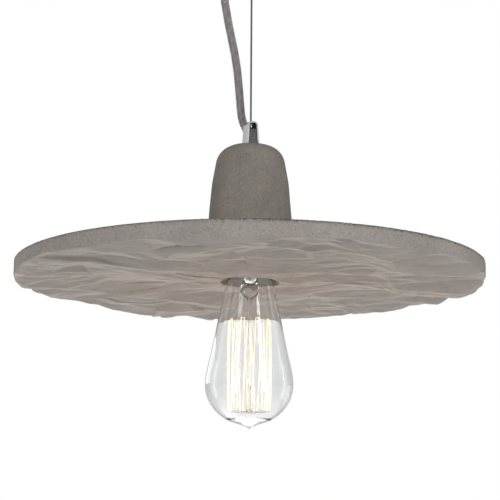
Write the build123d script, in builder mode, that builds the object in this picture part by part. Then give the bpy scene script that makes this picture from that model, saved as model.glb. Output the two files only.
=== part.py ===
from build123d import *
import math
import os

# A concrete pendant lamp hung on a steel wire, with a textile supply cord beside the wire.
# Millimetres. The origin is on the ceiling face, +Z is up, and everything hangs below z = 0.

# ------------------------------------------------------------------ driving sizes
# Ceiling cup and the bar that holds it
cup_diameter = 100.0
cup_height = 34.0
cup_wall = 1.2
cup_edge_radius = 6.0
bar_width = 18.0
bar_thickness = 2.0
bar_tab_length = 15.0
bar_end_clearance = 0.3
slot_spacing = 60.0
slot_length = 12.0
slot_width = 4.6
side_screw_drop = 9.0
side_screw_radius = 2.0
side_screw_head_radius = 4.0
side_screw_head_height = 2.6
side_screw_clearance = 0.3

# Ball joint in the cup floor, which carries the wire
ball_radius = 3.0
ball_running_gap = 0.06
seat_wall = 1.44
barrel_wall = 1.44
barrel_rise = 12.0
nose_floor = 1.04
nose_shoulder = 3.0
nose_slope = 2.6
wire_cone_angle = 31.0
gripper_nut_wall = 3.0
gripper_nut_height = 4.0
barrel_cap_thread = 3.0
barrel_cap_head = 1.6

# Suspension
suspension_drop = 238.0
wire_radius = 0.75
wire_stop_radius = 1.5
wire_stop_height = 3.2
wire_stop_chamfer = 0.4

# Supply cord and what it passes through
cord_radius = 3.0
cord_bush_clearance = 1.7
bush_wall = 1.6
bush_flange_width = 2.2
bush_flange_thickness = 1.5
cord_entry = (-22.0, 3.0)
cord_top_z = -24.0
core_radius = 1.1
core_spread = 1.3
core_bend_drop = 3.5
core_tail = 3.0
core_upper_bend = 2.0
core_lower_bend = 1.2
core_block_bend = 2.6
core_block_depth = 5.0

# Terminal block on the upper end of the cord
block_size = (14.0, 18.0, 9.0)
block_gap = 5.0
block_entry_z = -16.0
block_pole_spacing = 9.0
block_tube_radius = 2.3
block_core_gap = 0.2
block_screw_radius = 1.2
block_screw_inset = 3.2
block_screw_recess = 1.0
block_tube_inset = 1.0
block_corner_radius = 1.5

# Stirrup on the crown of the bell
stirrup_height = 18.8
stirrup_width_step = 2.4
stirrup_depth = 10.0
stirrup_thickness = 1.2
stirrup_foot_margin = 3.2
stirrup_turn = 22.0
stirrup_corner_radius = 2.2
stirrup_foot_bend = 1.0
stirrup_knee_bend = 4.0
foot_screw_radius = 1.5
foot_screw_head_radius = 2.7
foot_screw_head_height = 1.8
foot_screw_gap = 0.6
grip_wall = 0.7
grip_side_gap = 0.1
grip_front = 4.3
grip_back = 3.4
grip_height = 13.6
grip_edge_round = 0.8
grip_bore_radius = 2.9
cord_seat_height = 7.8

# Concrete bell
bell_height = 90.6
bell_foot_gap = 2.6
bell_shoulder_step = 5.4
bell_shoulder_height = 63.0
bell_crown_step = 4.9
bell_crown_round = 14.5
bell_side_round = 60.0
bell_wall = 6.5
bell_crown_thickness = 8.0
crown_hole_radius = 7.6

# Concrete disc
disc_radius = 170.5
disc_thickness = 11.0
disc_hole_gap = 3.3
disc_edge_chamfer = 0.8

# Steel parts inside the bell
plate_gap = 0.8
plate_thickness = 2.0
nipple_radius = 5.0
nipple_bore_radius = 3.5
nipple_entry = 2.0
nut_flats = 14.0
nut_height = 4.0
strap_thickness = 1.5
strap_width = 14.0
strap_side_gap = 0.8
strap_foot_inset = 2.45
strap_foot_length = 12.25
strap_foot_height = 4.75
strap_bend_radius = 3.0
strap_foot_bend = 1.5

# Lampholder, measured up from the underside of the disc
holder_wall = 2.6
holder_shell_gap = 1.4
holder_mouth = 7.0
holder_skirt_height = 37.0
holder_cap_height = 24.0
holder_cap_round = 6.0
holder_cap_web = 2.0
skirt_chamfer = 0.6
holder_boss_radius = 8.5
holder_boss_height = 4.0
insert_thickness = 11.0
insert_gap = 0.2
insert_chamfer = 1.0
shell_wall = 0.5
shell_clearance = 0.3
shell_height = 27.0
shell_hole_radius = 9.0
contact_width = 6.0
contact_thickness = 0.6
contact_gap = 0.1
contact_foot_half = 7.0
contact_shoulder_half = 4.6
contact_top_half = 2.4
holder_terminal_place = 8.5
holder_terminal_radius = 2.6
holder_terminal_height = 3.0

# Screw-in lamp bulb
bulb_neck_radius = 17.2
bulb_side_lean = 0.207
bulb_widest_round = 23.6
bulb_tip_round = 22.0
bulb_length = 106.6
bulb_wall = 0.8
bulb_neck_rise = 14.0
bulb_neck_step = 1.6
bulb_neck_round = 6.0
bulb_foot_round = 14.0
bulb_cap_radius = 13.2
bulb_cap_height = 21.5
bulb_cap_wall = 0.4
bulb_cap_seat = 8.5
cap_groove_pitch = 3.6
cap_groove_start = 5.0
cap_groove_count = 4
insulator_inset = 1.0
insulator_taper = 45.0
insulator_height = 3.5
contact_button_radius = 4.8
contact_button_height = 2.0
contact_button_round = 1.2
stem_flare_radius = 7.5
stem_flare_drop = 3.0
stem_waist_step = 0.4
stem_press_width = 9.0
stem_press_thickness = 3.6
stem_press_top = 4.0
stem_press_foot = 12.0
stem_rod_radius = 1.2
stem_button_radius = 2.3
cage_radius = 15.2
cage_top = 27.0
cage_foot = 93.6
cage_hooks = 9
filament_radius = 0.35
filament_knot_radius = 0.42
support_radius = 0.25
support_entry = 0.2
lead_radius = 0.35
lead_foot_half = 3.0
lead_foot_rise = 1.0

# ------------------------------------------------------------------ sizes that follow
seat_inner = ball_radius + ball_running_gap
seat_outer = seat_inner + seat_wall
barrel_bore = seat_outer + ball_running_gap
barrel_radius = barrel_bore + barrel_wall
nose_depth = barrel_bore + nose_floor
nose_top_radius = barrel_radius + nose_shoulder
nose_tip_radius = nose_top_radius - nose_slope
bush_bore = cord_radius + cord_bush_clearance
bush_radius = bush_bore + bush_wall
stirrup_base_width = 2 * (cord_radius + grip_wall + grip_side_gap + stirrup_thickness)
stirrup_top_width = stirrup_base_width - stirrup_width_step
shell_bore = bulb_cap_radius + shell_clearance
shell_radius = shell_bore + shell_wall
holder_bore = shell_radius + holder_shell_gap
holder_radius = holder_bore + holder_wall
disc_hole_radius = holder_radius + disc_hole_gap
strap_top_half = holder_radius + strap_side_gap + strap_thickness / 2
strap_foot_half = disc_hole_radius + strap_foot_inset
strap_foot_reach = strap_foot_half + strap_foot_length
bell_base_radius = strap_foot_half + strap_thickness / 2 + bell_foot_gap + bell_wall
bell_shoulder_radius = bell_base_radius - bell_shoulder_step
bell_crown_radius = bell_shoulder_radius - bell_crown_step
plate_radius = bell_crown_radius - bell_wall - plate_gap
foot_screw_place = nut_flats / math.sqrt(3) + foot_screw_head_radius + foot_screw_gap
stirrup_foot_reach = foot_screw_place + stirrup_foot_margin
neck_radius = bulb_cap_radius - bulb_cap_wall

# ------------------------------------------------------------------ levels and frames
cup_floor_z = -cup_height
pivot_z = cup_floor_z
underside_z = cup_floor_z - suspension_drop
disc_top_z = underside_z + disc_thickness
crown_z = disc_top_z + bell_height
stirrup_top_z = crown_z + stirrup_height
bridge_z = stirrup_top_z - stirrup_thickness
crown_underside_z = crown_z - bell_crown_thickness
plate_top_z = crown_underside_z - stirrup_thickness
plate_foot_z = plate_top_z - plate_thickness
holder_mouth_z = underside_z + holder_mouth
holder_joint_z = holder_mouth_z + holder_skirt_height
holder_top_z = holder_joint_z + holder_cap_height
strap_top_z = holder_top_z + strap_thickness
nipple_foot_z = holder_top_z - holder_boss_height - nipple_entry
bulb_seat_z = underside_z + bulb_cap_seat
cap_top_z = bulb_seat_z + bulb_cap_height
contact_top_z = cap_top_z + insulator_height + contact_button_height

turn = math.radians(stirrup_turn)
across = Vector(math.cos(turn), math.sin(turn), 0)
behind = Vector(-math.sin(turn), math.cos(turn), 0)
stirrup_plane = Plane(origin=(0, 0, crown_z), x_dir=across, z_dir=-behind)


def level(z):
    """A horizontal plane at height z."""
    return Plane.XY.offset(z)


def turned_level(z):
    """A horizontal plane at height z, turned with the stirrup."""
    return Plane(origin=(0, 0, z), x_dir=across, z_dir=(0, 0, 1))


def behind_stirrup(distance, z):
    """A point in the stirrup's middle plane, that far behind the wire."""
    place = behind * distance
    return (place.X, place.Y, z)


def bend_radii(points, share=0.45):
    """For each corner, the largest radius that its two runs leave room for."""
    places = [Vector(*p) for p in points]
    runs = [b - a for a, b in zip(places, places[1:])]
    radii = []
    for first, second in zip(runs, runs[1:]):
        half_turn = math.radians(first.get_angle(second)) / 2
        radii.append(share * min(first.length, second.length) / math.tan(half_turn))
    return radii


def across_path(path):
    """The plane square to the start of a path."""
    return Plane(origin=path @ 0, z_dir=path % 0)


def keep(part, name):
    """Label a finished part and write it to its own file."""
    part.part.label = name
    export_step(part.part, f"parts/{name}.step")


os.makedirs("parts", exist_ok=True)

# ------------------------------------------------------------------ ceiling fitting
cup_bore = cup_diameter / 2 - cup_wall

with BuildPart() as ceiling_cup:
    with BuildSketch(level(cup_floor_z)):
        Circle(cup_diameter / 2)
    extrude(amount=cup_height)
    fillet(ceiling_cup.edges().group_by(Axis.Z)[0], radius=cup_edge_radius)
    offset(amount=-cup_wall, openings=ceiling_cup.faces().sort_by(Axis.Z)[-1])
    with BuildSketch(level(cup_floor_z)):
        Circle(barrel_radius)
        with Locations(cord_entry):
            Circle(bush_radius)
    extrude(amount=cup_wall, mode=Mode.SUBTRACT)
    with BuildSketch(Plane.YZ):
        with Locations((0, -side_screw_drop)):
            Circle(side_screw_radius + side_screw_clearance)
    extrude(amount=cup_diameter, both=True, mode=Mode.SUBTRACT)
keep(ceiling_cup, "ceiling_cup")

bar_half = math.sqrt(cup_bore**2 - (bar_width / 2) ** 2) - bar_end_clearance

with BuildPart() as ceiling_bar:
    with BuildSketch(Plane.XZ):
        with BuildLine():
            Polyline(
                (-bar_half, -bar_tab_length),
                (-bar_half, 0),
                (bar_half, 0),
                (bar_half, -bar_tab_length),
                (bar_half - bar_thickness, -bar_tab_length),
                (bar_half - bar_thickness, -bar_thickness),
                (bar_thickness - bar_half, -bar_thickness),
                (bar_thickness - bar_half, -bar_tab_length),
                close=True,
            )
        make_face()
    extrude(amount=bar_width / 2, both=True)
    with BuildSketch(level(-bar_thickness)):
        with GridLocations(slot_spacing, 1, 2, 1):
            SlotOverall(slot_length, slot_width)
    extrude(amount=bar_thickness, mode=Mode.SUBTRACT)
    with BuildSketch(Plane.YZ):
        with Locations((0, -side_screw_drop)):
            Circle(side_screw_radius)
    extrude(amount=cup_diameter, both=True, mode=Mode.SUBTRACT)
keep(ceiling_bar, "ceiling_bar")

with BuildPart() as cup_screws:
    with BuildSketch(Plane.YZ.offset(bar_half - bar_thickness)):
        with Locations((0, -side_screw_drop)):
            Circle(side_screw_radius)
    extrude(amount=cup_diameter / 2 - bar_half + bar_thickness)
    with BuildSketch(Plane.YZ.offset(cup_diameter / 2)):
        with Locations((0, -side_screw_drop)):
            Circle(side_screw_head_radius)
    extrude(amount=side_screw_head_height)
    fillet(cup_screws.edges().group_by(Axis.X)[-1], radius=side_screw_head_height / 3)
    mirror(about=Plane.YZ)
keep(cup_screws, "cup_screws")

cone_lean = math.tan(math.radians(wire_cone_angle))

with BuildPart() as gripper_barrel:
    with BuildSketch(Plane.XZ):
        with BuildLine():
            Polyline(
                (0, pivot_z - nose_depth),
                (nose_tip_radius, pivot_z - nose_depth),
                (nose_top_radius, cup_floor_z),
                (barrel_radius, cup_floor_z),
                (barrel_radius, pivot_z + barrel_rise),
                (0, pivot_z + barrel_rise),
                close=True,
            )
        make_face()
    revolve(axis=Axis.Z)
    with BuildSketch(Plane.XZ):
        with BuildLine():
            Polyline(
                (0, pivot_z - nose_depth),
                (cone_lean * nose_depth, pivot_z - nose_depth),
                (0, pivot_z),
                close=True,
            )
        make_face()
        with BuildLine():
            Line((0, pivot_z + barrel_rise), (0, pivot_z - barrel_bore))
            CenterArc((0, pivot_z), barrel_bore, -90, 90)
            Line((barrel_bore, pivot_z), (barrel_bore, pivot_z + barrel_rise))
            Line((barrel_bore, pivot_z + barrel_rise), (0, pivot_z + barrel_rise))
        make_face()
    revolve(axis=Axis.Z, mode=Mode.SUBTRACT)
keep(gripper_barrel, "gripper_barrel")

with BuildPart() as gripper_nut:
    with BuildSketch(level(cup_floor_z + cup_wall)):
        RegularPolygon(barrel_radius + gripper_nut_wall, 6, major_radius=False)
        Circle(barrel_radius, mode=Mode.SUBTRACT)
    extrude(amount=gripper_nut_height)
keep(gripper_nut, "gripper_nut")

with BuildPart() as barrel_cap:
    with BuildSketch(level(pivot_z + barrel_rise - barrel_cap_thread)):
        Circle(barrel_bore)
    extrude(amount=barrel_cap_thread)
    with BuildSketch(level(pivot_z + barrel_rise)):
        Circle(barrel_radius)
        Rectangle(2 * barrel_bore, barrel_cap_head / 2, mode=Mode.SUBTRACT)
    extrude(amount=barrel_cap_head)
keep(barrel_cap, "barrel_cap")

with BuildPart() as cord_bush:
    with BuildSketch(level(cup_floor_z - bush_flange_thickness)):
        with Locations(cord_entry):
            Circle(bush_radius + bush_flange_width)
    extrude(amount=bush_flange_thickness)
    with BuildSketch(level(cup_floor_z)):
        with Locations(cord_entry):
            Circle(bush_radius)
    extrude(amount=cup_wall)
    with BuildSketch(level(cup_floor_z + cup_wall)):
        with Locations(cord_entry):
            Circle(bush_radius + bush_flange_width / 2)
    extrude(amount=bush_flange_thickness)
    with BuildSketch(level(cup_floor_z - bush_flange_thickness)):
        with Locations(cord_entry):
            Circle(bush_bore)
    extrude(amount=cup_wall + 2 * bush_flange_thickness, mode=Mode.SUBTRACT)
keep(cord_bush, "cord_bush")

# ------------------------------------------------------------------ ball joint and wire
seat_start = wire_cone_angle - 90

with BuildPart() as seat_ring:
    with BuildSketch(Plane.XZ):
        with BuildLine():
            inner = CenterArc((0, pivot_z), seat_inner, seat_start, -seat_start)
            outer = CenterArc((0, pivot_z), seat_outer, seat_start, -seat_start)
            Line(inner @ 0, outer @ 0)
            Line(inner @ 1, outer @ 1)
        make_face()
    revolve(axis=Axis.Z)
keep(seat_ring, "seat_ring")

wire_foot_z = bridge_z - wire_stop_height

with BuildPart() as suspension_wire:
    with BuildSketch(level(wire_foot_z)):
        Circle(wire_radius)
    extrude(amount=pivot_z - wire_foot_z)
keep(suspension_wire, "suspension_wire")

with BuildPart() as wire_ball:
    with Locations((0, 0, pivot_z)):
        Sphere(ball_radius)
    add(suspension_wire.part, mode=Mode.SUBTRACT)
keep(wire_ball, "wire_ball")

with BuildPart() as wire_stop:
    with BuildSketch(level(wire_foot_z)):
        Circle(wire_stop_radius)
    extrude(amount=wire_stop_height)
    chamfer(wire_stop.edges().filter_by(GeomType.CIRCLE), length=wire_stop_chamfer)
    add(suspension_wire.part, mode=Mode.SUBTRACT)
keep(wire_stop, "wire_stop")

# ------------------------------------------------------------------ stirrup on the crown
leg_half = (stirrup_base_width - stirrup_thickness) / 2
bridge_half = (stirrup_top_width - stirrup_thickness) / 2
foot_level = -bell_crown_thickness - stirrup_thickness / 2
bridge_level = stirrup_height - stirrup_thickness / 2

with BuildPart() as stirrup:
    with BuildSketch(stirrup_plane):
        with BuildLine():
            FilletPolyline(
                (-stirrup_foot_reach, foot_level),
                (-leg_half, foot_level),
                (-leg_half, 0),
                (-bridge_half, bridge_level),
                (bridge_half, bridge_level),
                (leg_half, 0),
                (leg_half, foot_level),
                (stirrup_foot_reach, foot_level),
                radius=[
                    stirrup_foot_bend,
                    stirrup_knee_bend,
                    stirrup_corner_radius,
                    stirrup_corner_radius,
                    stirrup_knee_bend,
                    stirrup_foot_bend,
                ],
            )
        trace(line_width=stirrup_thickness)
    extrude(amount=stirrup_depth / 2, both=True)
    with BuildSketch(turned_level(plate_top_z)):
        with GridLocations(2 * foot_screw_place, 1, 2, 1):
            Circle(foot_screw_radius)
    extrude(amount=stirrup_thickness, mode=Mode.SUBTRACT)
    with BuildSketch(level(bridge_z)):
        Circle(wire_radius)
    extrude(amount=stirrup_thickness, mode=Mode.SUBTRACT)
keep(stirrup, "stirrup")

with BuildPart() as crown_plate:
    with BuildSketch(turned_level(plate_foot_z)):
        Circle(plate_radius)
        Circle(nipple_radius, mode=Mode.SUBTRACT)
        with GridLocations(2 * foot_screw_place, 1, 2, 1):
            Circle(foot_screw_radius, mode=Mode.SUBTRACT)
    extrude(amount=plate_thickness)
keep(crown_plate, "crown_plate")

with BuildPart() as foot_screws:
    with BuildSketch(turned_level(plate_foot_z)):
        with GridLocations(2 * foot_screw_place, 1, 2, 1):
            Circle(foot_screw_radius)
    extrude(amount=plate_thickness + stirrup_thickness)
    with BuildSketch(turned_level(plate_foot_z - foot_screw_head_height)):
        with GridLocations(2 * foot_screw_place, 1, 2, 1):
            Circle(foot_screw_head_radius)
    extrude(amount=foot_screw_head_height)
keep(foot_screws, "foot_screws")

# ------------------------------------------------------------------ supply cord
# From its upper end in the cup, down beside the wire, to the grip behind the stirrup.
# Heights in this route are above the crown of the bell, but for the first two, which are in the cup.
cord_foot_z = crown_z + cord_seat_height
cord_points = [
    (*cord_entry, cord_top_z),
    (*cord_entry, cord_top_z - 21.0),
    (-17.4, 6.0, crown_z + 97.4),
    (-11.0, 9.0, crown_z + 68.4),
    (-8.4, 11.4, crown_z + 41.4),
    (-7.2, 11.6, crown_z + 25.9),
    behind_stirrup(9.4, crown_z + 15.6),
    behind_stirrup(1.2, cord_foot_z),
]
cord_radii = bend_radii(cord_points)

with BuildPart() as supply_cord:
    with BuildLine() as cord_path:
        FilletPolyline(*cord_points, radius=cord_radii)
    with BuildSketch(across_path(cord_path.line)):
        Circle(cord_radius)
    sweep()
keep(supply_cord, "supply_cord")

cord_runs = [(Vector(*b) - Vector(*a)).length for a, b in zip(cord_points, cord_points[1:])]
cord_length = cord_path.wire().length
print("cord runs", [round(run, 1) for run in cord_runs])
print("cord radii", [round(radius, 1) for radius in cord_radii])
print("cord length", round(cord_length, 1))
cord_section = math.pi * cord_radius**2
print("cord volume share", round(supply_cord.part.volume / (cord_section * cord_length), 4))

grip_half = leg_half - stirrup_thickness / 2 - grip_side_gap
grip_top_half = bridge_half - stirrup_thickness / 2 - grip_side_gap
grip_shoulder_half = grip_half - (grip_half - grip_top_half) * grip_height / stirrup_height

with BuildPart() as cord_grip:
    with BuildSketch(stirrup_plane):
        with BuildLine():
            Polyline(
                (-grip_half, plate_top_z - crown_z),
                (-grip_half, 0),
                (-grip_shoulder_half, grip_height),
                (grip_shoulder_half, grip_height),
                (grip_half, 0),
                (grip_half, plate_top_z - crown_z),
                close=True,
            )
        make_face()
    extrude(amount=grip_front)
    grip_rear = cord_grip.faces().sort_by(Axis(stirrup_plane.origin, stirrup_plane.z_dir))[0]
    extrude(grip_rear, amount=grip_back)
    fillet(cord_grip.edges().group_by(Axis.Z)[-1], radius=grip_edge_round)
    with BuildSketch(level(plate_top_z)):
        Circle(grip_bore_radius)
    extrude(amount=cord_foot_z - plate_top_z, mode=Mode.SUBTRACT)
    add(supply_cord.part, mode=Mode.SUBTRACT)
keep(cord_grip, "cord_grip")

# ------------------------------------------------------------------ terminal block on the cord
block_face_x = cord_entry[0] - block_gap
block_place = (block_face_x - block_size[0] / 2, cord_entry[1])
block_poles = [(cord_entry[1] + side * block_pole_spacing / 2) for side in (-1, 1)]
block_foot_z = block_entry_z - block_size[2] / 2

with BuildPart() as terminal_tubes:
    with BuildSketch(Plane.YZ.offset(block_face_x - block_size[0] + block_tube_inset)):
        with Locations(*[(pole, block_entry_z) for pole in block_poles]):
            Circle(block_tube_radius)
            Circle(core_radius + block_core_gap, mode=Mode.SUBTRACT)
    extrude(amount=block_size[0] - 2 * block_tube_inset)
    with BuildSketch(level(block_entry_z)):
        for inset in (block_screw_inset, block_size[0] - block_screw_inset):
            with Locations(*[(block_face_x - inset, pole) for pole in block_poles]):
                Circle(block_screw_radius)
    extrude(amount=block_size[2] / 2, mode=Mode.SUBTRACT)
keep(terminal_tubes, "terminal_tubes")

with BuildPart() as terminal_screws:
    with BuildSketch(level(block_entry_z + core_radius + block_core_gap)):
        for inset in (block_screw_inset, block_size[0] - block_screw_inset):
            with Locations(*[(block_face_x - inset, pole) for pole in block_poles]):
                Circle(block_screw_radius)
    extrude(amount=block_size[2] / 2 - core_radius - block_core_gap - block_screw_recess)
keep(terminal_screws, "terminal_screws")

with BuildPart() as terminal_block:
    with BuildSketch(level(block_foot_z)):
        with Locations(block_place):
            RectangleRounded(block_size[0], block_size[1], block_corner_radius)
    extrude(amount=block_size[2])
    with BuildSketch(Plane.YZ.offset(block_face_x - block_size[0])):
        with Locations(*[(pole, block_entry_z) for pole in block_poles]):
            Circle(block_tube_radius)
    extrude(amount=block_size[0], mode=Mode.SUBTRACT)
    with BuildSketch(level(block_entry_z)):
        for inset in (block_screw_inset, block_size[0] - block_screw_inset):
            with Locations(*[(block_face_x - inset, pole) for pole in block_poles]):
                Circle(block_screw_radius)
    extrude(amount=block_size[2] / 2, mode=Mode.SUBTRACT)
keep(terminal_block, "terminal_block")

with BuildPart() as supply_cores:
    for side, pole in zip((-1, 1), block_poles):
        with BuildLine() as core_path:
            FilletPolyline(
                (cord_entry[0], cord_entry[1] + side * core_spread, cord_top_z),
                (cord_entry[0], pole, block_entry_z),
                (block_face_x - core_block_depth, pole, block_entry_z),
                radius=core_block_bend,
            )
        with BuildSketch(across_path(core_path.line)):
            Circle(core_radius)
        sweep()
    add(supply_cord.part, mode=Mode.SUBTRACT)
keep(supply_cores, "supply_cores")

# ------------------------------------------------------------------ concrete bell
shoulder_z = disc_top_z + bell_shoulder_height


def bell_outline(inset, top_z):
    """Half of the bell's outline, moved in by inset and closed along the axis."""
    Polyline(
        (0, disc_top_z),
        (bell_base_radius - inset, disc_top_z),
        (bell_shoulder_radius - inset, shoulder_z),
        (bell_crown_radius - inset, top_z),
        (0, top_z),
        close=True,
    )


with BuildPart() as concrete_bell:
    with BuildSketch(Plane.XZ) as bell_side:
        with BuildLine():
            bell_outline(0, crown_z)
        make_face()
        fillet(bell_side.vertices().sort_by(Axis.X)[-2], radius=bell_side_round)
        fillet(bell_side.vertices().group_by(Axis.Y)[-1].sort_by(Axis.X)[-1], radius=bell_crown_round)
    revolve(axis=Axis.Z)
    with BuildSketch(Plane.XZ):
        with BuildLine():
            bell_outline(bell_wall, crown_underside_z)
        make_face()
    revolve(axis=Axis.Z, mode=Mode.SUBTRACT)
    with BuildSketch(level(crown_underside_z)):
        Circle(crown_hole_radius)
    extrude(amount=bell_crown_thickness, mode=Mode.SUBTRACT)
keep(concrete_bell, "concrete_bell")

# ------------------------------------------------------------------ steel parts in the bell
with BuildPart() as threaded_nipple:
    with BuildSketch(level(nipple_foot_z)):
        Circle(nipple_radius)
        Circle(nipple_bore_radius, mode=Mode.SUBTRACT)
    extrude(amount=plate_top_z - nipple_foot_z)
keep(threaded_nipple, "threaded_nipple")

for nut_name, nut_foot_z in (("plate_nut", plate_foot_z - nut_height), ("strap_nut", strap_top_z)):
    with BuildPart() as hex_nut:
        with BuildSketch(level(nut_foot_z)):
            RegularPolygon(nut_flats / 2, 6, major_radius=False)
            Circle(nipple_radius, mode=Mode.SUBTRACT)
        extrude(amount=nut_height)
    keep(hex_nut, nut_name)

strap_foot_z = underside_z + strap_foot_height
strap_crown_z = strap_top_z - strap_thickness / 2

with BuildPart() as disc_strap:
    with BuildSketch(Plane.XZ):
        with BuildLine():
            FilletPolyline(
                (-strap_foot_reach, strap_foot_z),
                (-strap_foot_half, strap_foot_z),
                (-strap_top_half, strap_crown_z),
                (strap_top_half, strap_crown_z),
                (strap_foot_half, strap_foot_z),
                (strap_foot_reach, strap_foot_z),
                radius=[strap_foot_bend, strap_bend_radius, strap_bend_radius, strap_foot_bend],
            )
        trace(line_width=strap_thickness)
    extrude(amount=strap_width / 2, both=True)
    with BuildSketch(level(holder_top_z)):
        Circle(nipple_radius)
    extrude(amount=strap_thickness, mode=Mode.SUBTRACT)
keep(disc_strap, "disc_strap")

# ------------------------------------------------------------------ concrete disc
with BuildPart() as concrete_disc:
    with BuildSketch(level(underside_z)):
        Circle(disc_radius)
        Circle(disc_hole_radius, mode=Mode.SUBTRACT)
    extrude(amount=disc_thickness)
    rims = concrete_disc.edges().filter_by(GeomType.CIRCLE).group_by(SortBy.RADIUS)[-1]
    chamfer(rims, length=disc_edge_chamfer)
    add(disc_strap.part, mode=Mode.SUBTRACT)
keep(concrete_disc, "concrete_disc")

# ------------------------------------------------------------------ lampholder
insert_foot_z = holder_joint_z - insert_thickness / 2
shell_top_z = insert_foot_z
shell_foot_z = shell_top_z - shell_height

with BuildPart() as lampholder_skirt:
    with BuildSketch(level(holder_mouth_z)):
        Circle(holder_radius)
        Circle(holder_bore, mode=Mode.SUBTRACT)
    extrude(amount=holder_skirt_height)
    chamfer(lampholder_skirt.edges().group_by(Axis.Z)[0], length=skirt_chamfer)
keep(lampholder_skirt, "lampholder_skirt")

with BuildPart() as lampholder_cap:
    with BuildSketch(level(holder_joint_z)):
        Circle(holder_radius)
    extrude(amount=holder_cap_height - holder_boss_height)
    fillet(lampholder_cap.edges().group_by(Axis.Z)[-1], radius=holder_cap_round)
    with BuildSketch(level(holder_top_z - holder_boss_height)):
        Circle(holder_boss_radius)
    extrude(amount=holder_boss_height)
    with BuildSketch(level(holder_joint_z)):
        Circle(holder_bore)
    extrude(amount=nipple_foot_z - holder_cap_web - holder_joint_z, mode=Mode.SUBTRACT)
    with BuildSketch(level(nipple_foot_z - holder_cap_web)):
        Circle(nipple_bore_radius)
    extrude(amount=holder_cap_web, mode=Mode.SUBTRACT)
    with BuildSketch(level(nipple_foot_z)):
        Circle(nipple_radius)
    extrude(amount=holder_top_z - nipple_foot_z, mode=Mode.SUBTRACT)
keep(lampholder_cap, "lampholder_cap")

with BuildPart() as holder_insert:
    with BuildSketch(level(insert_foot_z)):
        Circle(holder_bore - insert_gap)
    extrude(amount=insert_thickness)
    chamfer(holder_insert.edges().group_by(Axis.Z)[-1], length=insert_chamfer)
keep(holder_insert, "holder_insert")

with BuildPart() as screw_shell:
    with BuildSketch(level(shell_foot_z)):
        Circle(shell_radius)
    extrude(amount=shell_height)
    with BuildSketch(level(shell_foot_z)):
        Circle(shell_bore)
    extrude(amount=shell_height - shell_wall, mode=Mode.SUBTRACT)
    with BuildSketch(level(shell_top_z - shell_wall)):
        Circle(shell_hole_radius)
    extrude(amount=shell_wall, mode=Mode.SUBTRACT)
keep(screw_shell, "screw_shell")

contact_middle_z = contact_top_z + contact_gap + contact_thickness / 2
contact_end_z = insert_foot_z - contact_thickness / 2

with BuildPart() as centre_contact:
    with BuildSketch(Plane.XZ):
        with BuildLine():
            Polyline(
                (-contact_foot_half, contact_end_z),
                (-contact_shoulder_half, contact_end_z),
                (-contact_top_half, contact_middle_z),
                (contact_top_half, contact_middle_z),
            )
        trace(line_width=contact_thickness)
    extrude(amount=contact_width / 2, both=True)
keep(centre_contact, "centre_contact")

terminal_foot_z = insert_foot_z + insert_thickness
terminal_top_z = terminal_foot_z + holder_terminal_height

with BuildPart() as holder_terminals:
    with BuildSketch(level(terminal_foot_z)):
        with GridLocations(2 * holder_terminal_place, 1, 2, 1):
            Circle(holder_terminal_radius)
    extrude(amount=holder_terminal_height)
keep(holder_terminals, "holder_terminals")

with BuildPart() as holder_cores:
    for side in (-1, 1):
        drop = across * (side * core_spread)
        with BuildLine() as core_path:
            FilletPolyline(
                (drop.X, drop.Y, cord_foot_z),
                (drop.X, drop.Y, nipple_foot_z - core_bend_drop),
                (side * holder_terminal_place, 0, terminal_top_z + core_tail),
                (side * holder_terminal_place, 0, terminal_top_z),
                radius=[core_upper_bend, core_lower_bend],
            )
        with BuildSketch(across_path(core_path.line)):
            Circle(core_radius)
        sweep()
    add(supply_cord.part, mode=Mode.SUBTRACT)
keep(holder_cores, "holder_cores")

# ------------------------------------------------------------------ bulb
neck_top_z = underside_z + bulb_neck_rise


def bulb_outline(inset):
    """The glass outline from its neck to its tip, moved in by inset."""
    lower_lean = math.sqrt(2) * inset
    tip_middle_z = underside_z - bulb_length + bulb_tip_round
    apex_z = tip_middle_z - math.sqrt(2) * bulb_tip_round
    foot_radius = bulb_neck_radius - inset
    corner_drop = (underside_z - apex_z - lower_lean - foot_radius) / (1 + bulb_side_lean)
    corner_radius = foot_radius + bulb_side_lean * corner_drop
    turn_radius = (bulb_tip_round - inset) / math.sqrt(2)
    side = FilletPolyline(
        (neck_radius - inset, neck_top_z),
        (neck_radius - inset, bulb_seat_z - bulb_neck_step),
        (foot_radius, underside_z),
        (corner_radius, underside_z - corner_drop),
        (turn_radius, tip_middle_z - turn_radius),
        radius=[bulb_neck_round, bulb_foot_round, bulb_widest_round],
    )
    tip = CenterArc((0, tip_middle_z), bulb_tip_round - inset, -90, 45)
    Line(tip @ 0, (0, neck_top_z))
    Line((0, neck_top_z), side @ 0)


with BuildPart() as bulb_glass:
    with BuildSketch(Plane.XZ):
        with BuildLine():
            bulb_outline(0)
        make_face()
    revolve(axis=Axis.Z)
    with BuildSketch(Plane.XZ):
        with BuildLine():
            bulb_outline(bulb_wall)
        make_face()
    revolve(axis=Axis.Z, mode=Mode.SUBTRACT)
keep(bulb_glass, "bulb_glass")

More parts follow.
